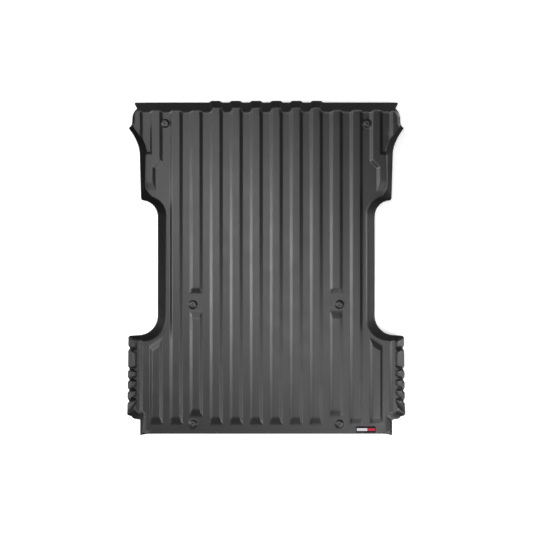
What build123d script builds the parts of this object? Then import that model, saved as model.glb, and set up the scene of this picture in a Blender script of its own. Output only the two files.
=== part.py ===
"""Moulded bed mat for a full-size pickup with a 6.5 ft box.

Frame: +X to the passenger side, +Y towards the cab, +Z up. The origin is under the
middle of the overall box, on the plane that the underside rests on. Millimetres.
"""

from build123d import *
from math import atan2, cos, sqrt
import os

os.makedirs("parts", exist_ok=True)

# Sheet and levels
sheet = 4.0  # thickness of the moulded rubber
rim_z = 64.0  # top of the upturned walls
low_rim_z = 30.0  # top of the front corner posts and of the tail's edges
raised_height = 12.0  # ribs and shoulders stand this far above the floor
overall_length = 2078.0
rear_y = -overall_length / 2
past_rear_y = rear_y - 60  # the tray is made too long here, and its open end is cut off

# Walls lean outward, so each place on the half outline is a pair: the inner face at the
# floor, then the outer edge at the rim.
tail_x = (770.0, 803.0)
scoop_inner_y = (-930.0, -936.0)
scoop_outer_y = (-896.0, -900.0)
side_x = (813.0, 848.0)
notch_corner_y = (-450.0, -420.0)
rear_arc_y = (-310.0, -290.0)
rear_arc_radius = (140.0, 124.0)
well_x = (630.0, 670.0)
fore_arc_y = (334.0, 324.0)
fore_arc_radius = (120.0, 97.0)
fore_corner_radius = (90.0, 12.0)
fore_x = (757.0, 774.0)
diagonal_start = ((755.0, 724.0), (782.0, 727.0))
diagonal_middle = ((776.0, 818.0), (799.0, 795.0))
diagonal_tip = ((836.0, 893.0), (849.5, 873.0))
post_x = (822.0, 835.0)
post_rear_y = 907.0
post_front_y = 944.0
post_depth = 32.0  # how far in from the corner post the lower rim reaches
flap_x = (813.0, 814.0)
flap_root_y = (976.0, 1000.0)
front_y = (984.0, 1029.0)

# Bumps in the walls, which clear the pressings of the metal box
wall_bump_width = 66.0
wall_bump_flank = 10.0
front_bump_depth = (18.0, 10.0)
side_bump_depth = (3.0, 13.0)
side_bump_pitch = 66.6
side_bump_gap = 22.0
side_bump_rear_gap_y = -820.0
side_bumps_front_y = -500.0
side_bump_gaps = 4
bump_root = 20.0  # how far a bump's solid starts inside the wall

# Ribs
rib_pitch = 125.6
rib_half_width = 40.0
rib_flank = 16.0
ribs_per_side = 6
wall_ribs = 3  # inner ribs on each side that run on up the front wall
rib_rear_y = -975.0
rib_rear_ramp = 42.0
short_rib = 3  # this rib stops clear of the middle and rear bolt heads
short_rib_rear_y = -925.0
short_rib_gap_y = (-268.0, -152.0)
short_rib_ramp = 30.0

slant_outer_y = -486.0  # slanted front end of the outermost rib, behind the wheel well
slant_inner_y = -432.0
slant_ramp = 30.0
jog_front_y = 676.0  # the outermost rib's inner flank steps outward here
jog_width = 44.0
ledge_rear_y = 490.0
ledge_rear_ramp = 30.0
ledge_front_y = 735.0
ledge_front_ramp = 16.0

# Raised shoulders along the side walls
shoulder_foot_x = 776.0
rear_shoulder_y = (-899.0, -440.0)
rear_shoulder_slant = 1.4  # its rear end runs this far forward for each step outward
front_shoulder_rear_y = 760.0

# Domes over the bolt heads of the metal floor
dome_base_radius = 27.0
dome_top_radius = 23.0
dome_z = 18.0
pocket_radius = 19.0
front_bolts = (634.0, 912.0)
middle_bolts = (460.0, -224.0)
rear_bolts = (460.0, -974.0)

# Badge on the flat strip behind the ribs
badge_centre = (626.0, -1009.0)
badge_size = (122.0, 39.0)
badge_pad = 0.8
badge_thickness = 2.4
badge_border = 4.0
badge_corner = 5.0
badge_edge_radius = 0.8
inlay_depth = 0.8
inlay_gap = 3.0
inlay_inset = 14.0
inlay_corner = 3.0
silver_length = 66.0

hollow_margin = 1.4 * sheet
# The hollow under a rib is the rib's own shape, lowered until its flank is one sheet thick.
hollow_drop = sheet / cos(atan2(raised_height, rib_flank))


def half_outline(plane, level, grow):
    """Closed right half of the tray in plan. Level 0 is the floor and 1 the rim."""
    tail = tail_x[level] + grow
    side = side_x[level] + grow
    well = well_x[level] + grow
    fore = fore_x[level] + grow
    post = post_x[level] + grow
    flap = flap_x[level] + grow
    front = front_y[level] + grow
    rear_radius = rear_arc_radius[level] - grow
    fore_radius = fore_arc_radius[level] - grow
    corner_radius = fore_corner_radius[level] + grow
    # The arc round the wheel well runs straight into the arc of the corner before it.
    arc_x = well + fore_radius
    corner_x = fore - corner_radius
    reach = fore_radius + corner_radius
    corner_y = fore_arc_y[level] + sqrt(reach**2 - (arc_x - corner_x) ** 2)
    share = fore_radius / reach
    joint = (
        arc_x + (corner_x - arc_x) * share,
        fore_arc_y[level] + (corner_y - fore_arc_y[level]) * share,
    )
    start, middle, tip = (
        (place[level][0] + grow, place[level][1] - grow / 2)
        for place in (diagonal_start, diagonal_middle, diagonal_tip)
    )
    with BuildSketch(plane) as outline:
        with BuildLine():
            Polyline(
                (0, past_rear_y),
                (tail, past_rear_y),
                (tail, scoop_inner_y[level] - grow),
                (side, scoop_outer_y[level] - grow),
                (side, notch_corner_y[level] + grow),
                (well + rear_radius, rear_arc_y[level] - rear_radius),
            )
            TangentArc(
                (well, rear_arc_y[level]),
                (well + rear_radius, rear_arc_y[level] - rear_radius),
                tangent=(0, -1),
            )
            Line((well, rear_arc_y[level]), (well, fore_arc_y[level]))
            TangentArc((well, fore_arc_y[level]), joint, tangent=(0, 1))
            TangentArc((fore, corner_y), joint, tangent=(0, -1))
            Line((fore, corner_y), start)
            ThreePointArc(start, middle, tip)
            Polyline(
                tip,
                (post, post_rear_y),
                (post, post_front_y),
                (flap, flap_root_y[level]),
                (flap, front),
                (0, front),
                (0, past_rear_y),
            )
        make_face()
    return outline.sketch


def front_bump(centre):
    """Plan of the front wall's bump at one rib."""

    def plan(plane, level, grow):
        half = wall_bump_width / 2 + grow
        root = front_y[level] - bump_root
        crest = front_y[level] + front_bump_depth[level] + grow
        with BuildSketch(plane) as outline:
            Polygon(
                (centre - half - wall_bump_flank, root),
                (centre + half + wall_bump_flank, root),
                (centre + half, crest),
                (centre - half, crest),
                align=None,
            )
        return outline.sketch

    return plan


def side_bump(rear, front):
    """Plan of one bump in the rear part of the side wall."""

    def plan(plane, level, grow):
        root = side_x[level] - bump_root
        crest = side_x[level] + side_bump_depth[level] + grow
        with BuildSketch(plane) as outline:
            Polygon(
                (root, rear - grow - wall_bump_flank),
                (crest, rear - grow),
                (crest, front + grow),
                (root, front + grow + wall_bump_flank),
                align=None,
            )
        return outline.sketch

    return plan


def levels(plan, low_z, low_grow, high_grow):
    """The two sections, floor and rim, that a wall is lofted between."""
    return [
        plan(Plane.XY.offset(low_z), 0, low_grow),
        plan(Plane.XY.offset(rim_z), 1, high_grow),
    ]


def raised(foot, top, drop=0.0):
    """Sections of a raised block: its foot on the floor and its flat top."""
    sections = []
    for corners, z in ((foot, sheet), (top, sheet + raised_height)):
        with BuildSketch(Plane.XY.offset(z - drop)) as section:
            Polygon(*corners, align=None)
        sections.append(section.sketch)
    return sections


def rib(x, back, front, back_ramp, front_ramp):
    """Foot and top corners of a straight rib with its own ramp at each end."""
    half = rib_half_width
    top = rib_half_width - rib_flank
    foot_corners = [(x - half, back), (x + half, back), (x + half, front), (x - half, front)]
    top_corners = [
        (x - top, back + back_ramp),
        (x + top, back + back_ramp),
        (x + top, front - front_ramp),
        (x - top, front - front_ramp),
    ]
    return foot_corners, top_corners


# Plans of everything raised on the floor. What reaches the walls runs on past them, and
# is cut off by the tray.
past_front_y = front_y[1] + 40
past_side_x = side_x[1] + 50
blocks = []
for number in range(ribs_per_side - 1):
    rib_x = rib_pitch * (number + 0.5)
    if number == short_rib:
        gap_back, gap_front = short_rib_gap_y
        blocks.append(rib(rib_x, short_rib_rear_y, gap_back, rib_rear_ramp, short_rib_ramp))
        blocks.append(rib(rib_x, gap_front, past_front_y, short_rib_ramp, 0))
    else:
        blocks.append(rib(rib_x, rib_rear_y, past_front_y, rib_rear_ramp, 0))

# Behind the wheel well the outermost rib is cut off slantwise. Ahead of it the same rib
# widens into a ledge that reaches the side wall.
outer_rib_x = rib_pitch * (ribs_per_side - 0.5)
inner_foot = outer_rib_x - rib_half_width
outer_foot = outer_rib_x + rib_half_width
inner_top = inner_foot + rib_flank
outer_top = outer_foot - rib_flank
rib_behind_well = (
    [
        (inner_foot, rib_rear_y),
        (outer_foot, rib_rear_y),
        (outer_foot, slant_outer_y),
        (inner_foot, slant_inner_y),
    ],
    [
        (inner_top, rib_rear_y + rib_rear_ramp),
        (outer_top, rib_rear_y + rib_rear_ramp),
        (outer_top, slant_outer_y - slant_ramp),
        (inner_top, slant_inner_y - slant_ramp),
    ],
)
rib_and_ledge = (
    [
        (inner_foot, jog_front_y),
        (inner_foot + jog_width, jog_front_y - jog_width),
        (inner_foot + jog_width, ledge_rear_y),
        (past_side_x, ledge_rear_y),
        (past_side_x, ledge_front_y),
        (outer_foot, ledge_front_y),
        (outer_foot, past_front_y),
        (inner_foot, past_front_y),
    ],
    [
        (inner_top, jog_front_y + ledge_front_ramp / 2),
        (inner_top + jog_width, jog_front_y - jog_width + ledge_front_ramp / 2),
        (inner_top + jog_width, ledge_rear_y + ledge_rear_ramp),
        (past_side_x, ledge_rear_y + ledge_rear_ramp),
        (past_side_x, ledge_front_y - ledge_front_ramp),
        (outer_top, ledge_front_y - ledge_front_ramp),
        (outer_top, past_front_y),
        (inner_top, past_front_y),
    ],
)
shoulder_top_x = shoulder_foot_x + rib_flank
slant_run = rear_shoulder_slant * (past_side_x - shoulder_foot_x)
slant_flank = rib_flank * sqrt(1 + rear_shoulder_slant**2)
rear_shoulder = (
    [
        (shoulder_foot_x, rear_shoulder_y[0]),
        (past_side_x, rear_shoulder_y[0] + slant_run),
        (past_side_x, rear_shoulder_y[1]),
        (shoulder_foot_x + rib_half_width, rear_shoulder_y[1]),
        (shoulder_foot_x, rear_shoulder_y[1] - rib_half_width),
    ],
    [
        (shoulder_top_x, rear_shoulder_y[0] + rear_shoulder_slant * rib_flank + slant_flank),
        (past_side_x, rear_shoulder_y[0] + slant_run + slant_flank),
        (past_side_x, rear_shoulder_y[1] - rib_flank),
        (shoulder_top_x + rib_half_width, rear_shoulder_y[1] - rib_flank),
        (shoulder_top_x, rear_shoulder_y[1] - rib_half_width - rib_flank),
    ],
)
front_shoulder = (
    [
        (shoulder_foot_x, front_shoulder_rear_y),
        (past_side_x, front_shoulder_rear_y),
        (past_side_x, past_front_y),
        (shoulder_foot_x, past_front_y),
    ],
    [
        (shoulder_top_x, front_shoulder_rear_y),
        (past_side_x, front_shoulder_rear_y),
        (past_side_x, past_front_y),
        (shoulder_top_x, past_front_y),
    ],
)
blocks += [rib_behind_well, rib_and_ledge, rear_shoulder, front_shoulder]

# Plans of the wall bumps
bumps = []
for number in range(wall_ribs):
    bumps.append(front_bump(rib_pitch * (number + 0.5)))
bump_rear_y = scoop_outer_y[0]
for number in range(side_bump_gaps + 1):
    gap_y = side_bump_rear_gap_y + number * side_bump_pitch
    bump_front_y = side_bumps_front_y if number == side_bump_gaps else gap_y - side_bump_gap / 2
    bumps.append(side_bump(bump_rear_y + wall_bump_flank, bump_front_y - wall_bump_flank))
    bump_rear_y = gap_y + side_bump_gap / 2

# Open space above the mat
with BuildPart() as above:
    loft(levels(half_outline, sheet, 0, -sheet), ruled=True)
    for bump in bumps:
        loft(levels(bump, sheet, 0, -sheet), ruled=True)
    for foot, top in blocks:
        loft(raised(foot, top), ruled=True, mode=Mode.SUBTRACT)

# Hollows under the raised blocks
with BuildPart() as below:
    for foot, top in blocks:
        loft(raised(foot, top, drop=hollow_drop), ruled=True)
    # kept off the walls' outer faces by a little over one sheet
    loft(levels(half_outline, 0, sheet - hollow_margin, -hollow_margin), ruled=True, mode=Mode.INTERSECT)

# Bed mat: the right half is made first, and then mirrored
with BuildPart() as bed_mat:
    loft(levels(half_outline, 0, sheet, 0), ruled=True)
    for bump in bumps:
        loft(levels(bump, 0, sheet, 0), ruled=True)
    add(above.part, mode=Mode.SUBTRACT)
    add(below.part, mode=Mode.SUBTRACT)
    # lower rim at the front corner post and along the tail
    with BuildSketch(Plane.XY.offset(rim_z)):
        with Locations((post_x[0] - post_depth, post_rear_y)):
            Rectangle(3 * post_depth, flap_root_y[1] - post_rear_y, align=Align.MIN)
        with Locations((tail_x[0] - post_depth, scoop_inner_y[1])):
            Rectangle(3 * post_depth, overall_length, align=(Align.MIN, Align.MAX))
    extrude(amount=low_rim_z - rim_z, mode=Mode.SUBTRACT)
    # open rear edge
    with BuildSketch(Plane.XY):
        with Locations((0, rear_y)):
            Rectangle(2 * past_side_x, -2 * past_rear_y, align=(Align.CENTER, Align.MAX))
    extrude(amount=rim_z, mode=Mode.SUBTRACT)
    for bolt in (front_bolts, middle_bolts, rear_bolts):
        with BuildSketch(Plane.XY.offset(sheet / 2)):
            with Locations(bolt):
                Circle(dome_base_radius)
        with BuildSketch(Plane.XY.offset(dome_z)):
            with Locations(bolt):
                Circle(dome_top_radius)
        loft()
        with BuildSketch(Plane.XY):
            with Locations(bolt):
                Circle(pocket_radius)
        extrude(amount=dome_z - sheet, mode=Mode.SUBTRACT)
    mirror(about=Plane.YZ)
bed_mat.part.label = "bed_mat"

# Badge: a rubber-edged plate on an adhesive pad, with two coloured inlays
badge_plane = Plane((badge_centre[0], badge_centre[1], sheet))
with BuildPart() as badge_adhesive_pad:
    with BuildSketch(badge_plane):
        RectangleRounded(badge_size[0] - 2, badge_size[1] - 2, badge_corner - 1)
    extrude(amount=badge_pad)
badge_adhesive_pad.part.label = "badge_adhesive_pad"

inlay_width = badge_size[1] - 2 * badge_border - inlay_inset
inlay_span = badge_size[0] - 2 * badge_border
red_length = inlay_span - silver_length - inlay_gap
silver_x = -inlay_span / 2 + silver_length / 2
red_x = inlay_span / 2 - red_length / 2
inlay_floor = badge_plane.offset(badge_pad + badge_thickness - inlay_depth)

with BuildPart() as badge_plate:
    with BuildSketch(badge_plane.offset(badge_pad)):
        RectangleRounded(*badge_size, badge_corner)
    extrude(amount=badge_thickness)
    fillet(badge_plate.faces().sort_by(Axis.Z)[-1].edges(), badge_edge_radius)
    with BuildSketch(inlay_floor):
        with Locations((silver_x, 0)):
            RectangleRounded(silver_length, inlay_width, inlay_corner)
        with Locations((red_x, 0)):
            RectangleRounded(red_length, inlay_width, inlay_corner)
    extrude(amount=inlay_depth, mode=Mode.SUBTRACT)
badge_plate.part.label = "badge_plate"

with BuildPart() as badge_silver_inlay:
    with BuildSketch(inlay_floor):
        with Locations((silver_x, 0)):
            RectangleRounded(silver_length, inlay_width, inlay_corner)
    extrude(amount=inlay_depth)
badge_silver_inlay.part.label = "badge_silver_inlay"

with BuildPart() as badge_red_inlay:
    with BuildSketch(inlay_floor):
        with Locations((red_x, 0)):
            RectangleRounded(red_length, inlay_width, inlay_corner)
    extrude(amount=inlay_depth)
badge_red_inlay.part.label = "badge_red_inlay"

for piece in (bed_mat, badge_adhesive_pad, badge_plate, badge_silver_inlay, badge_red_inlay):
    export_step(piece.part, f"parts/{piece.part.label}.step")
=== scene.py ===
"""Moulded pickup bed mat with its badge: the visual model, in metres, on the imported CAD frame."""

import math

import bmesh
import bpy
import numpy as np
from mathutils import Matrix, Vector
from mathutils.geometry import delaunay_2d_cdt


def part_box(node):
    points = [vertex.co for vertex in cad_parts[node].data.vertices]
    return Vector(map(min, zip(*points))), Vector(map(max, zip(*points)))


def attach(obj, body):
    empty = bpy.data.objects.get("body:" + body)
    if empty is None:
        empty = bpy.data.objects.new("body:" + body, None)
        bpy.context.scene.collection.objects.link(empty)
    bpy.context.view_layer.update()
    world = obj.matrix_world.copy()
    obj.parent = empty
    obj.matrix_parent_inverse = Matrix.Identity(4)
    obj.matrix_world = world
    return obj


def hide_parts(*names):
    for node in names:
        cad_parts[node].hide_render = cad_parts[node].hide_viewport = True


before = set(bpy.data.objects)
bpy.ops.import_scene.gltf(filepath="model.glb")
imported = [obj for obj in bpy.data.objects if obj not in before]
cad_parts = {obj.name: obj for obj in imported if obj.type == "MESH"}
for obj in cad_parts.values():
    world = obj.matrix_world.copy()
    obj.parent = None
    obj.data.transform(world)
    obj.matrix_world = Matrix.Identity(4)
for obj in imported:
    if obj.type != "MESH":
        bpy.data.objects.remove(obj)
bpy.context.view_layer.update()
mat_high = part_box("bed_mat")[1]

# ---------------------------------------------------------------------------------------
# Sizes, in millimetres, on the CAD model's axes: +X is the mat's right and +Y its front.
# The outline follows the foot of the wall inside, and the outer edge of its rim.
# ---------------------------------------------------------------------------------------
MM = 0.001
SHEET = 4.0
FLOOR = SHEET  # height of the top face between the ribs
RAISED = 12.0  # rise of the ribs, ledges and shoulders above the floor
RIM = mat_high[2] / MM
LOW_RIM = 30.0  # at the tail's sides
SCOOP_RIM = LOW_RIM + 0.7 * (RIM - LOW_RIM)
POST_RIM = 25.0  # at the front corner posts
LIP_RIM = FLOOR - 2.0  # the rear edge droops a little

RIB_PITCH = 125.6
RIB_HALF = 40.0
RIB_FLANK = 17.0
RIB_REAR = -975.0
RIB_RAMP = 42.0
RIBS_PER_SIDE = 6
EDGE_ROUND = 0.22  # rounding of a ramp's two corners, as a share of the ramp

SHORT_RIB = 3  # starts ahead of the rear bolt and breaks off round the middle one
SHORT_RIB_REAR = -925.0
BREAK_REAR = -264.0
BREAK_REAR_RAMP = 46.0
BREAK_FRONT = -152.0
BREAK_FRONT_RAMP = 30.0

LEDGE_INSET = 44.0  # from the outermost rib's inner side to the ledge's
LEDGE_REAR = 490.0
LEDGE_FRONT = 735.0
SHOULDER_X = 776.0
SHOULDER_RAMP = 16.0
BEYOND_SIDE = 900.0
BEYOND_FRONT = 1200.0

REAR = -1037.0
TAIL_FOOT = 760.0
TAIL_RIM = 784.0
WELL_FOOT = 630.0
WELL_RIM = 670.0
SIDE_FOOT = 807.0
FRONT_FOOT = 984.0
FRONT_RIM = 1029.0

WALL_RIBS = 3  # a side, pushed out of the front wall in line with the floor ribs
WALL_RIB_HALF = 24.0
WALL_RIB_FLANK = 16.0
WALL_RIB_FOOT_PUSH = 18.0
WALL_RIB_RIM_PUSH = 10.0

PINCH_PITCH = 66.6  # the rear side wall is pinched between its pillow-shaped bumps
PINCH_REAR = -820.0
PINCH_CORNER = -490.0
PINCHES = 4
PINCH_HALF = 3.0
PINCH_FLANK = 17.0
PINCH_FOOT = 20.0
PINCH_RIM = 11.0
PILLOW = 12.0
PILLOW_FADE = 40.0  # from the side rim's rear end, where the scoop begins
FLARE = 10.0  # the foot moves outward behind the rearmost pinch
FLARE_START = PINCH_REAR - 20.0
FLARE_RUN = 50.0
SIDE_RIM_REAR = -902.0

TAIL_CURL = 1.8  # the tail's sides curl up, where the other walls are straight

FOOT_MARGIN = 14.0  # width of the strip of floor that is meshed with the wall
BLEND = 9.0  # rounding between the floor and the wall


def lerp(a, b, t):
    return a + (b - a) * t


def smooth(t):
    t = np.clip(t, 0.0, 1.0)
    return t * t * (3.0 - 2.0 * t)


def smooth_clamp(v, e=EDGE_ROUND):
    """0 below 0 and 1 above 1, with both corners of the ramp rounded."""

    def rounded(t):
        return np.where(t < -e, 0.0, np.where(t > e, t, (t + e) ** 2 / (4.0 * e)))

    return 1.0 - rounded(1.0 - rounded(v))


def smooth_max(a, b, k):
    h = np.clip(k - np.abs(a - b), 0.0, None) / k
    return np.maximum(a, b) + h * h * k / 4.0


# ---------------------------------------------------------------------------------------
# What is raised on the floor: each block is the space inside a few straight sides, and
# each side is (x, y, inward x, inward y, ramp length).
# ---------------------------------------------------------------------------------------
def side(start, end, ramp):
    """The side from start to end, with the block on its left."""
    dx, dy = end[0] - start[0], end[1] - start[1]
    length = math.hypot(dx, dy)
    return (start[0], start[1], -dy / length, dx / length, ramp)


def straight_rib(x, back, front, back_ramp=RIB_RAMP, front_ramp=RIB_RAMP):
    left, right = x - RIB_HALF, x + RIB_HALF
    return [
        side((left, back), (right, back), back_ramp),
        side((right, back), (right, front), RIB_FLANK),
        side((right, front), (left, front), front_ramp),
        side((left, front), (left, back), RIB_FLANK),
    ]


blocks = []
for number in range(RIBS_PER_SIDE - 1):
    rib_x = RIB_PITCH * (number + 0.5)
    if number == SHORT_RIB:
        blocks.append(straight_rib(rib_x, SHORT_RIB_REAR, BREAK_REAR, front_ramp=BREAK_REAR_RAMP))
        blocks.append(straight_rib(rib_x, BREAK_FRONT, BEYOND_FRONT, back_ramp=BREAK_FRONT_RAMP))
    else:
        blocks.append(straight_rib(rib_x, RIB_REAR, BEYOND_FRONT))

outer_x = RIB_PITCH * (RIBS_PER_SIDE - 0.5)
inner, outer = outer_x - RIB_HALF, outer_x + RIB_HALF
ledge = inner + LEDGE_INSET
# the rear part of the outermost rib, cut off slantwise behind the wheel well
blocks.append([
    side((inner, RIB_REAR), (outer, RIB_REAR), RIB_RAMP),
    side((outer, RIB_REAR), (outer, -486.0), RIB_FLANK),
    side((outer, -486.0), (inner, -432.0), 32.0),
    side((inner, -432.0), (inner, RIB_REAR), RIB_FLANK),
])
# its front part, which turns into the ledge
blocks.append([
    side((inner, 676.0), (outer, 596.0), RIB_FLANK),
    side((outer, LEDGE_REAR), (outer, BEYOND_FRONT), RIB_FLANK),
    side((inner, BEYOND_FRONT), (inner, LEDGE_REAR), RIB_FLANK),
])
# the ledge along the side wall
blocks.append([
    side((ledge, LEDGE_REAR), (BEYOND_SIDE, LEDGE_REAR), 55.0),
    side((BEYOND_SIDE, LEDGE_FRONT), (inner, LEDGE_FRONT), 18.0),
    side((ledge, LEDGE_FRONT), (ledge, LEDGE_REAR), RIB_FLANK),
])
# shoulders along the rear and the front of the side walls
blocks.append([
    side((772.0, -905.0), (850.0, -795.0), 14.0),
    side((BEYOND_SIDE, -440.0), (824.0, -440.0), SHOULDER_RAMP),
    side((824.0, -440.0), (SHOULDER_X, -480.0), SHOULDER_RAMP),
    side((SHOULDER_X, -480.0), (SHOULDER_X, -905.0), SHOULDER_RAMP),
])
blocks.append([
    side((SHOULDER_X, BEYOND_FRONT), (SHOULDER_X, 700.0), SHOULDER_RAMP),
])


def floor_height(x, y):
    """Height of the mat's top face inside the walls."""
    x = np.abs(np.asarray(x, float))
    y = np.asarray(y, float)
    height = np.zeros(np.broadcast(x, y).shape)
    for block in blocks:
        inside = np.full(height.shape, np.inf)
        for px, py, nx, ny, ramp in block:
            inside = np.minimum(inside, ((x - px) * nx + (y - py) * ny) / ramp)
        height = np.maximum(height, smooth_clamp(inside))
    return FLOOR + RAISED * height


# ---------------------------------------------------------------------------------------
# Outline of the right half, from the middle of the rear edge round to the middle of the
# front wall. Each stretch gives the wall's foot and rim and the rim's height at t.
# ---------------------------------------------------------------------------------------
def line(a, b):
    return lambda t: (lerp(a[0], b[0], t), lerp(a[1], b[1], t))


def arc(cx, cy, radius, from_deg, to_deg):
    def at(t):
        angle = math.radians(lerp(from_deg, to_deg, t))
        return (cx + radius * math.cos(angle), cy + radius * math.sin(angle))

    return at


def curve(*points):
    """Quadratic or cubic Bezier curve through its end points."""
    if len(points) == 3:
        a, b, c = points
        points = (
            a,
            (lerp(a[0], b[0], 2 / 3), lerp(a[1], b[1], 2 / 3)),
            (lerp(c[0], b[0], 2 / 3), lerp(c[1], b[1], 2 / 3)),
            c,
        )

    def at(t):
        weights = ((1 - t) ** 3, 3 * t * (1 - t) ** 2, 3 * t * t * (1 - t), t**3)
        return tuple(sum(w * p[axis] for w, p in zip(weights, points)) for axis in (0, 1))

    return at


def s_curve(well, arc_y, radius, fore, corner):
    """The two tangent arcs from the wheel-well wall to the side wall before it."""
    arc_x, corner_x = well + radius, fore - corner
    reach = radius + corner
    corner_y = arc_y + math.sqrt(reach**2 - (arc_x - corner_x) ** 2)
    angle = math.degrees(math.atan2(corner_y - arc_y, corner_x - arc_x))
    first = arc(arc_x, arc_y, radius, 180.0, angle)
    second = arc(corner_x, corner_y, corner, angle - 180.0, 0.0)
    return first, second, corner_y


def level(height):
    return lambda t: height


def climb(low, high, pace=1.0):
    return lambda t: lerp(low, high, float(smooth(pace * t)))


foot_arc, foot_corner, foot_corner_y = s_curve(WELL_FOOT, 334.0, 120.0, 757.0, 90.0)
rim_corner_y = 439.0
fine, medium, coarse = 3, 5, 8

# each row is foot, rim, rim height and spacing of the columns
rear_stretches = [
    (line((0, REAR + 4), (730, REAR + 4)), line((0, REAR), (730, REAR)), level(LIP_RIM), 15),
    (
        curve((730, REAR + 4), (TAIL_FOOT, REAR + 4), (TAIL_FOOT, REAR + 34)),
        curve((730, REAR), (779, REAR), (TAIL_RIM, -1039)),
        climb(LIP_RIM, LOW_RIM),
        fine,
    ),
    (
        line((TAIL_FOOT, REAR + 34), (TAIL_FOOT, -930)),
        line((TAIL_RIM, -1039), (TAIL_RIM, -944)),
        level(LOW_RIM),
        coarse,
    ),
]
scoop_stretches = [
    (
        curve((TAIL_FOOT, -930), (762, -900), (784, -900), (796, -894)),
        curve((TAIL_RIM, -944), (795, -936), (822, -938), (831, -920)),
        climb(LOW_RIM, SCOOP_RIM),
        fine,
    ),
    (
        curve((796, -894), (806, -889), (816, -884), (SIDE_FOOT + FLARE, -862)),
        curve((831, -920), (836, -910), (850, -912), (860, -902)),
        climb(SCOOP_RIM, RIM),
        fine,
    ),
]
# the side wall's foot gets its real place together with the pinches
side_stretches = [
    (line((SIDE_FOOT + FLARE, -862), (SIDE_FOOT, -473)), line((860, -902), (853, -430)), level(RIM), 4),
]
well_stretches = [
    (arc(785, -473, 22, 0, 90), curve((853, -430), (852, -418), (838, -417)), level(RIM), fine),
    (line((785, -451), (770, -450)), line((838, -417), (794, -414)), level(RIM), 6),
    (
        arc(WELL_FOOT + 140, -310, 140, 270, 180),
        arc(WELL_RIM + 124, -290, 124, 270, 180),
        level(RIM),
        medium,
    ),
    (line((WELL_FOOT, -310), (WELL_FOOT, 334)), line((WELL_RIM, -290), (WELL_RIM, 324)), level(RIM), 14),
    (foot_arc, curve((WELL_RIM, 324), (WELL_RIM, 370), (702, 420), (762, 427)), level(RIM), medium),
    (foot_corner, arc(762, rim_corner_y, 12, -90, 0), level(RIM), fine),
    (line((757, foot_corner_y), (751, 722)), line((774, rim_corner_y), (782, 720)), level(RIM), coarse),
]
post_stretches = [
    (
        curve((751, 722), (758, 800), (820, 872)),
        curve((782, 720), (789, 792), (850, 873)),
        level(RIM),
        medium,
    ),
    (
        curve((820, 872), (836, 893), (817, 910)),
        curve((850, 873), (855, 879), (838, 902)),
        climb(RIM, POST_RIM),
        2.5,
    ),
    (line((817, 910), (817, 940)), line((838, 902), (835, 940)), level(POST_RIM), 6),
    (
        curve((817, 940), (817, 962), (804, 974)),
        curve((835, 940), (836, 972), (809, 1000)),
        level(POST_RIM),
        4,
    ),
    (
        curve((804, 974), (797, 984), (784, FRONT_FOOT)),
        curve((809, 1000), (808, 1005), (818, 1028), (809, FRONT_RIM)),
        climb(POST_RIM, RIM, 1.6),
        2.5,
    ),
]
front_stretches = [
    (line((784, FRONT_FOOT), (0, FRONT_FOOT)), line((809, FRONT_RIM), (0, FRONT_RIM)), level(RIM), medium),
]


def pulse(distance, half, flank):
    """1 within half of a bump's middle, falling to 0 over the flank."""
    return float(smooth((half + flank - abs(distance)) / flank))


def length_of(path, samples=40):
    return sum(math.dist(path(i / samples), path((i + 1) / samples)) for i in range(samples))


def plain_column(fx, fy, rx, ry, rim_z, curl=1.0):
    """Foot, rim, unpinched foot, rim height, bulge and curl at one place of the outline."""
    return (fx, fy, rx, ry, fx, fy, rim_z, 0.0, curl)


def tail_column(fx, fy, rx, ry, rim_z):
    return plain_column(fx, fy, rx, ry, rim_z, curl=TAIL_CURL)


def side_column(fx, fy, rx, ry, rim_z):
    """The wall behind the wheel well: pillows with a narrow pinch after each."""
    pinches = [PINCH_REAR + number * PINCH_PITCH for number in range(PINCHES)] + [PINCH_CORNER]
    pinch = max(pulse(ry - place, PINCH_HALF, PINCH_FLANK) for place in pinches)
    plain_x = SIDE_FOOT + FLARE * float(smooth((FLARE_START - ry) / FLARE_RUN))
    bulge = PILLOW * (1.0 - pinch) * float(smooth((ry - SIDE_RIM_REAR) / PILLOW_FADE))
    return (plain_x + PINCH_FOOT * pinch, fy, rx - PINCH_RIM * pinch, ry, plain_x, fy, rim_z, bulge, 1.0)


def front_column(fx, fy, rx, ry, rim_z):
    """The front wall, with its ribs pushed out."""
    push = 0.0
    for number in range(WALL_RIBS):
        push += pulse(rx - RIB_PITCH * (number + 0.5), WALL_RIB_HALF, WALL_RIB_FLANK)
    return (
        fx,
        fy + WALL_RIB_FOOT_PUSH * push,
        rx,
        ry + WALL_RIB_RIM_PUSH * push,
        fx,
        fy,
        rim_z,
        0.0,
        1.0,
    )


def columns_along(stretches, column):
    columns = []
    for foot_path, rim_path, rim_height, spacing in stretches:
        longest = max(length_of(rim_path), length_of(foot_path))
        count = max(2, round(longest / spacing))
        for i in range(count):
            t = i / count
            columns.append(column(*foot_path(t), *rim_path(t), rim_height(t)))
    return columns


right = np.array(
    columns_along(rear_stretches[:1], plain_column)
    + columns_along(rear_stretches[1:], tail_column)
    + columns_along(scoop_stretches, plain_column)
    + columns_along(side_stretches, side_column)
    + columns_along(well_stretches + post_stretches, plain_column)
    + columns_along(front_stretches, front_column)
    + [plain_column(0.0, FRONT_FOOT, 0.0, FRONT_RIM, RIM)]
)
# the left half mirrors the right one, and the middle columns belong to both
left = right[-2:0:-1] * np.array([-1, 1, -1, 1, -1, 1, 1, 1, 1])
loop = np.vstack([right, left])
foot, rim, plain_foot = loop[:, 0:2], loop[:, 2:4], loop[:, 4:6]
rim_z, bulges, curls = loop[:, 6], loop[:, 7], loop[:, 8]


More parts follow.
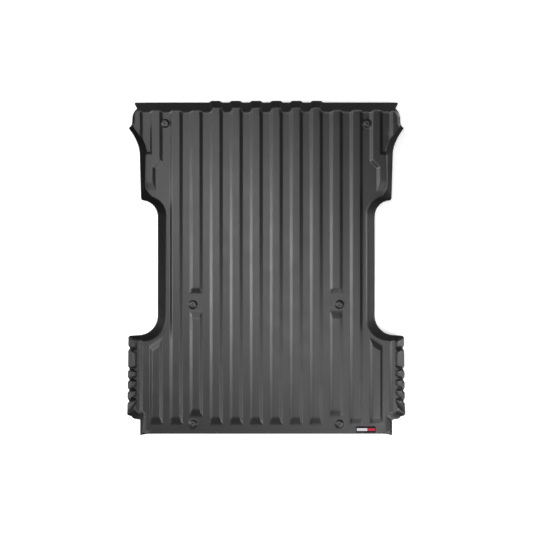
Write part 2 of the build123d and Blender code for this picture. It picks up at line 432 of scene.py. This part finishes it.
def inward_hem():
    """The inner edge of the wall strip, which runs a little inside the unpinched foot."""
    along = np.roll(plain_foot, -1, axis=0) - np.roll(plain_foot, 1, axis=0)
    normal = np.stack([along[:, 1], -along[:, 0]], axis=1)
    normal /= np.linalg.norm(normal, axis=1, keepdims=True)
    for _ in range(3):
        normal = np.roll(normal, 1, axis=0) + 2 * normal + np.roll(normal, -1, axis=0)
        normal /= np.linalg.norm(normal, axis=1, keepdims=True)
    return plain_foot - normal * FOOT_MARGIN


hem = inward_hem()

# rows of the wall strip: the hem is -1, the foot is 0 and the rim is 1
ROWS = [-1.0, -0.65, -0.35, -0.12, 0.02, 0.09, 0.16, 0.23, 0.30, 0.38, 0.48, 0.62, 0.78, 0.92, 1.0]


def wall_points(row):
    """One row of the wall strip: places and heights."""
    if row < 0:
        places = lerp(foot, hem, -row)
        rise = (rim_z - FLOOR) / np.linalg.norm(rim - foot, axis=1) * FOOT_MARGIN * row
    else:
        places = lerp(foot, rim, row)
        places[:, 0] -= np.sign(places[:, 0]) * bulges * math.sin(math.pi * row)
        rise = (rim_z - FLOOR) * row**curls
    ground = floor_height(places[:, 0], places[:, 1])
    height = smooth_max(ground, FLOOR + rise, BLEND)
    flat_edge = rim_z < FLOOR
    height = np.where(flat_edge, ground + (rim_z - FLOOR) * max(row, 0.0) ** 2, height)
    if row == ROWS[0]:
        height = ground
    return places, height


# ---------------------------------------------------------------------------------------
# Domes over the bolt heads: rings of radius and height above the floor
# ---------------------------------------------------------------------------------------
BOLTS = [(634.0, 912.0), (460.0, -224.0), (460.0, -974.0)]
DOME_RINGS = [
    (31.0, 0.0),
    (28.6, 0.3),
    (27.0, 1.4),
    (25.8, 3.6),
    (24.0, 7.6),
    (22.4, 10.6),
    (20.4, 12.6),
    (17.6, 13.8),
    (13.0, 14.4),
    (7.5, 14.6),
    (5.8, 14.1),
    (4.2, 12.8),
    (2.2, 12.3),
]
DOME_SIDES = 40
DOME_RADIUS = DOME_RINGS[0][0]
DOME_MIDDLE = DOME_RINGS[-1][1] - 0.1
DOME_BLEND = 3.0

FINE_STEP = 4.0
COARSE_STEP = 45.0
FINE_ROWS = [(-525.0, -415.0), (588.0, 760.0), (482.0, 560.0), (-915.0, -790.0)]  # ends and slants
GRID_OUTER = 826.0
GRID_REAR, GRID_FRONT = -1025.0, 980.0
CLOSEST_COLUMNS = 1.2
CLOSEST_ROWS = 2.2
HEM_GAP = 2.5  # grid points keep this far from the hem
POINT_GAP, EDGE_GAP = 2.0, 1.0  # and points and edges this far from a dome
# the grid's graded rows for the rear ramp of the short rib's break start 4 mm behind the ramp
GRID_BREAK = BREAK_REAR - 4.0


def graded(start, ramp):
    """Grid lines over one ramp: close together in its two rounded corners."""
    corner = EDGE_ROUND * ramp
    steps = (-1.0, -0.5, 0.0, 0.5, 1.0)
    return [start + corner * s for s in steps] + [start + ramp + corner * s for s in steps]


def thinned(values, closest):
    """The values in order, without any that are too close to the one before."""
    values = sorted(values)
    kept = values[:1]
    for value in values[1:]:
        if value - kept[-1] > closest:
            kept.append(value)
    return kept


def grid_lines():
    """Places of the grid's columns and rows, close together only where the height changes."""
    xs = [0.0]
    for number in range(RIBS_PER_SIDE):
        rib_x = RIB_PITCH * (number + 0.5)
        xs += [rib_x, RIB_PITCH * (number + 1.0)]
        xs += graded(rib_x - RIB_HALF, RIB_FLANK)
        xs += [2.0 * rib_x - x for x in graded(rib_x - RIB_HALF, RIB_FLANK)]
    xs += graded(ledge, RIB_FLANK)
    xs += graded(SHOULDER_X, SHOULDER_RAMP)
    xs += list(np.arange(inner, GRID_OUTER, FINE_STEP))
    right_half = thinned(xs, CLOSEST_COLUMNS)
    columns_x = [-x for x in reversed(right_half[1:])] + right_half

    ys = graded(RIB_REAR, RIB_RAMP) + graded(SHORT_RIB_REAR, RIB_RAMP)
    ys += [2.0 * GRID_BREAK - y for y in graded(GRID_BREAK, BREAK_REAR_RAMP)]
    ys += graded(BREAK_FRONT, BREAK_FRONT_RAMP)
    for start, end in FINE_ROWS:
        ys += list(np.arange(start, end, FINE_STEP))
    ys += list(np.arange(GRID_REAR, GRID_FRONT, COARSE_STEP))
    return np.array(columns_x), np.array(thinned(ys, CLOSEST_ROWS))


def inside_loop(points, polygon):
    """Which points are inside a closed polygon."""
    result = np.zeros(len(points), bool)
    x, y = points[:, 0], points[:, 1]
    for (x0, y0), (x1, y1) in zip(polygon, np.roll(polygon, -1, axis=0)):
        crosses = (y0 > y) != (y1 > y)
        with np.errstate(divide="ignore", invalid="ignore"):
            result ^= crosses & (x < (x1 - x0) * (y - y0) / (y1 - y0) + x0)
    return result


def distance_to_loop(points, polygon):
    """Distance from each point to a closed polygon's edge."""
    gap = np.full(len(points), np.inf)
    for start, end in zip(polygon, np.roll(polygon, -1, axis=0)):
        run = end - start
        t = np.clip(((points - start) @ run) / (run @ run), 0.0, 1.0)
        gap = np.minimum(gap, np.linalg.norm(points - start - t[:, None] * run, axis=1))
    return gap


def clear_of_domes(points, centres, margin):
    """Which points are outside every dome by the margin."""
    clear = np.ones(len(points), bool)
    for centre in centres:
        clear &= np.linalg.norm(points - centre, axis=1) > DOME_RADIUS + margin
    return clear


def straight_edges(points, shape, keep, centres):
    """Edges between neighbouring kept grid points which cross neither the hem nor a dome."""
    numbers = np.arange(len(keep)).reshape(shape)
    pairs = np.vstack([
        np.stack([numbers[:, :-1].ravel(), numbers[:, 1:].ravel()], axis=1),
        np.stack([numbers[:-1].ravel(), numbers[1:].ravel()], axis=1),
    ])
    pairs = pairs[keep[pairs[:, 0]] & keep[pairs[:, 1]]]
    for t in (0.2, 0.4, 0.6, 0.8):
        between = lerp(points[pairs[:, 0]], points[pairs[:, 1]], t)
        pairs = pairs[inside_loop(between, hem) & clear_of_domes(between, centres, EDGE_GAP)]
    return [tuple(pair) for pair in pairs]


def floor_mesh():
    """Points and triangles of the floor inside the hem, with the points of the hem in order."""
    columns_x, rows_y = grid_lines()
    grid = np.array([(x, y) for y in rows_y for x in columns_x])
    centres = [(s * x, y) for x, y in BOLTS for s in (1, -1)]
    keep = inside_loop(grid, hem) & (distance_to_loop(grid, hem) > HEM_GAP)
    keep &= clear_of_domes(grid, centres, POINT_GAP)
    grid_edges = straight_edges(grid, (len(rows_y), len(columns_x)), keep, centres)
    kept_number = np.cumsum(keep) - 1
    grid = grid[keep]

    places = [tuple(p) for p in hem]
    edges = [(i, (i + 1) % len(hem)) for i in range(len(hem))]
    heights = list(wall_points(ROWS[0])[1])
    for cx, cy in centres:
        ground = float(floor_height(cx, cy))
        for radius, rise in DOME_RINGS:
            first = len(places)
            for i in range(DOME_SIDES):
                angle = math.tau * i / DOME_SIDES
                px, py = cx + radius * math.cos(angle), cy + radius * math.sin(angle)
                around = float(floor_height(px, py))
                raised = float(smooth_max(around, ground + rise, DOME_BLEND))
                places.append((px, py))
                heights.append(raised if rise else around)
                edges.append((first + i, first + (i + 1) % DOME_SIDES))
        places.append((cx, cy))
        heights.append(ground + DOME_MIDDLE)
    edges += [tuple(len(places) + kept_number[i] for i in edge) for edge in grid_edges]
    places += [tuple(p) for p in grid]
    heights += list(floor_height(grid[:, 0], grid[:, 1]))

    found, _, triangles, origins, _, _ = delaunay_2d_cdt(
        [Vector(p) for p in places], edges, [], 1, 1e-4
    )
    points = [(place.x, place.y, heights[source[0]]) for place, source in zip(found, origins)]
    number_of = {source[0]: i for i, source in enumerate(origins) if source[0] < len(hem)}
    return points, [tuple(t) for t in triangles], [number_of[i] for i in range(len(hem))]


def mat_skin():
    """The mat's top face, floor and walls in one mesh."""
    points, faces, previous = floor_mesh()
    for row in ROWS[1:]:
        row_places, row_heights = wall_points(row)
        first = len(points)
        points += [(p[0], p[1], h) for p, h in zip(row_places, row_heights)]
        current = [first + i for i in range(len(hem))]
        for i in range(len(hem)):
            j = (i + 1) % len(hem)
            faces.append((previous[i], current[i], current[j], previous[j]))
        previous = current

    mesh = bpy.data.meshes.new("mat")
    mesh.from_pydata([tuple(c * MM for c in p) for p in points], [], faces)
    mesh.validate()
    work = bmesh.new()
    work.from_mesh(mesh)
    bmesh.ops.recalc_face_normals(work, faces=work.faces)
    if sum(face.normal.z * face.calc_area() for face in work.faces) < 0:
        bmesh.ops.reverse_faces(work, faces=work.faces)
    work.to_mesh(mesh)
    work.free()
    mesh.shade_smooth()
    return mesh


def build_mat():
    """The skin with the sheet's thickness below it and a rounded rim."""
    mat = bpy.data.objects.new("mat", mat_skin())
    bpy.context.scene.collection.objects.link(mat)
    sheet = mat.modifiers.new("sheet", "SOLIDIFY")
    sheet.thickness = SHEET * MM
    sheet.offset = -1.0
    sheet.use_even_offset = True
    sheet.use_quality_normals = True
    edge = mat.modifiers.new("rim edge", "BEVEL")
    edge.width = 1.0 * MM
    edge.segments = 2
    edge.limit_method = "ANGLE"
    edge.angle_limit = math.radians(60)
    normals = mat.modifiers.new("normals", "WEIGHTED_NORMAL")
    normals.keep_sharp = True
    return mat


mat = build_mat()
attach(mat, "root")
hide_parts("bed_mat")


# ---------------------------------------------------------------------------------------
# Materials
# ---------------------------------------------------------------------------------------
def new_material(name):
    material = bpy.data.materials.new(name)
    material.use_nodes = True
    nodes = material.node_tree.nodes
    shader = nodes["Principled BSDF"]
    place = nodes.new("ShaderNodeTexCoord")
    return material, nodes, material.node_tree.links, shader, place.outputs["Object"]


def noise(nodes, links, place, scale, detail):
    node = nodes.new("ShaderNodeTexNoise")
    node.inputs["Scale"].default_value = scale
    node.inputs["Detail"].default_value = detail
    links.new(place, node.inputs["Vector"])
    return node.outputs["Fac"]


def bump(nodes, links, height, strength, distance):
    node = nodes.new("ShaderNodeBump")
    node.inputs["Strength"].default_value = strength
    node.inputs["Distance"].default_value = distance
    links.new(height, node.inputs["Height"])
    return node


def uneven_roughness(nodes, links, value, shader, low, high):
    """Roughness between low and high, following a noise's middle values."""
    node = nodes.new("ShaderNodeMapRange")
    node.inputs["From Min"].default_value = 0.3
    node.inputs["From Max"].default_value = 0.7
    node.inputs["To Min"].default_value = low
    node.inputs["To Max"].default_value = high
    links.new(value, node.inputs["Value"])
    links.new(node.outputs["Result"], shader.inputs["Roughness"])


def rubber():
    """Black thermoplastic rubber with a moulded pebble grain."""
    material, nodes, links, shader, place = new_material("mat rubber")
    shader.inputs["Base Color"].default_value = (0.01, 0.01, 0.01, 1)
    shader.inputs["Specular IOR Level"].default_value = 0.5
    pebble = nodes.new("ShaderNodeTexVoronoi")
    pebble.feature = "SMOOTH_F1"
    pebble.inputs["Scale"].default_value = 260.0
    links.new(place, pebble.inputs["Vector"])
    grain = bump(nodes, links, pebble.outputs["Distance"], 0.35, 0.0006)
    waves = bump(nodes, links, noise(nodes, links, place, 70.0, 3.0), 0.25, 0.0012)
    links.new(grain.outputs["Normal"], waves.inputs["Normal"])
    links.new(waves.outputs["Normal"], shader.inputs["Normal"])
    uneven_roughness(nodes, links, noise(nodes, links, place, 9.0, 4.0), shader, 0.37, 0.43)
    return material


def plastic(name, colour, roughness, specular):
    """Moulded plastic or foam with a fine grain."""
    material, nodes, links, shader, place = new_material(name)
    shader.inputs["Base Color"].default_value = (*colour, 1)
    shader.inputs["Specular IOR Level"].default_value = specular
    grain = noise(nodes, links, place, 900.0, 3.0)
    links.new(bump(nodes, links, grain, 0.2, 0.0002).outputs["Normal"], shader.inputs["Normal"])
    uneven_roughness(nodes, links, grain, shader, roughness - 0.05, roughness + 0.05)
    return material


mat.data.materials.append(rubber())

for node, colour, roughness, specular in (
    ("badge_plate", (0.004, 0.004, 0.004), 0.6, 0.08),
    ("badge_adhesive_pad", (0.05, 0.05, 0.05), 0.8, 0.3),
    ("badge_silver_inlay", (0.40, 0.40, 0.42), 0.35, 0.3),
    ("badge_red_inlay", (0.30, 0.008, 0.028), 0.45, 0.15),
):
    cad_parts[node].data.materials.clear()
    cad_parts[node].data.materials.append(plastic(node, colour, roughness, specular))


# ---------------------------------------------------------------------------------------
# Floor, lights and camera, in metres
# ---------------------------------------------------------------------------------------
LIGHT_DISTANCE = 5.3
middle = Vector((0.0, 0.0, 0.0))


def add_floor():
    bpy.ops.mesh.primitive_plane_add(size=40.0, location=(0, 0, -0.0005))
    floor = bpy.context.object
    floor.name = "studio_floor"
    material = bpy.data.materials.new("studio floor")
    material.use_nodes = True
    shader = material.node_tree.nodes["Principled BSDF"]
    shader.inputs["Base Color"].default_value = (0.9, 0.9, 0.9, 1)
    shader.inputs["Roughness"].default_value = 0.9
    shader.inputs["Emission Color"].default_value = (1, 1, 1, 1)
    shader.inputs["Emission Strength"].default_value = 0.3
    floor.data.materials.append(material)


def add_backdrop():
    """A pale world behind the floor, which adds no light of its own."""
    world = bpy.data.worlds.new("studio")
    world.use_nodes = True
    world.node_tree.nodes["Background"].inputs["Color"].default_value = (1, 1, 1, 1)
    world.node_tree.nodes["Background"].inputs["Strength"].default_value = 0.7
    world.cycles_visibility.diffuse = False
    world.cycles_visibility.glossy = False
    bpy.context.scene.world = world
    bpy.context.scene.view_settings.view_transform = "Standard"


def around(azimuth, elevation):
    """A place LIGHT_DISTANCE from the middle of the mat. Azimuth 0 is +X and 90 is +Y."""
    turn, tilt = math.radians(azimuth), math.radians(elevation)
    return LIGHT_DISTANCE * Vector(
        (math.cos(tilt) * math.cos(turn), math.cos(tilt) * math.sin(turn), math.sin(tilt))
    )


def softbox(name, place, target, width, height, power):
    light = bpy.data.lights.new(name, "AREA")
    light.shape = "RECTANGLE"
    light.size, light.size_y = width, height
    light.energy = power
    lamp = bpy.data.objects.new(name, light)
    lamp.location = place
    lamp.rotation_euler = (place - target).to_track_quat("Z", "Y").to_euler()
    bpy.context.scene.collection.objects.link(lamp)


add_floor()
add_backdrop()
for name, azimuth, elevation, width, power in (
    ("low left", 180.0, 14.0, 2.0, 135.0),
    ("left", 182.0, 30.0, 2.0, 80.0),
    ("high left", 180.0, 50.0, 2.0, 140.0),
    ("low right", 345.0, 14.0, 2.0, 55.0),
    ("right", 340.0, 50.0, 2.0, 40.0),
    ("front left", 125.0, 46.0, 2.0, 56.0),
    ("top front", 120.0, 79.0, 1.3, 64.0),
    ("top rear", 300.0, 79.0, 1.3, 54.0),
):
    softbox(name, around(azimuth, elevation), middle, width, 1.3, power)
softbox("near right", Vector((1.6, -2.0, 2.1)), Vector((0.4, -1.0, 0.0)), 1.3, 0.8, 40.0)

camera = bpy.data.cameras.new("camera")
camera.lens = 50.0
camera.sensor_width = 36.0
view = bpy.data.objects.new("camera", camera)
view.location = (0.002, 0.0145, 4.653)
bpy.context.scene.collection.objects.link(view)
bpy.context.scene.camera = view
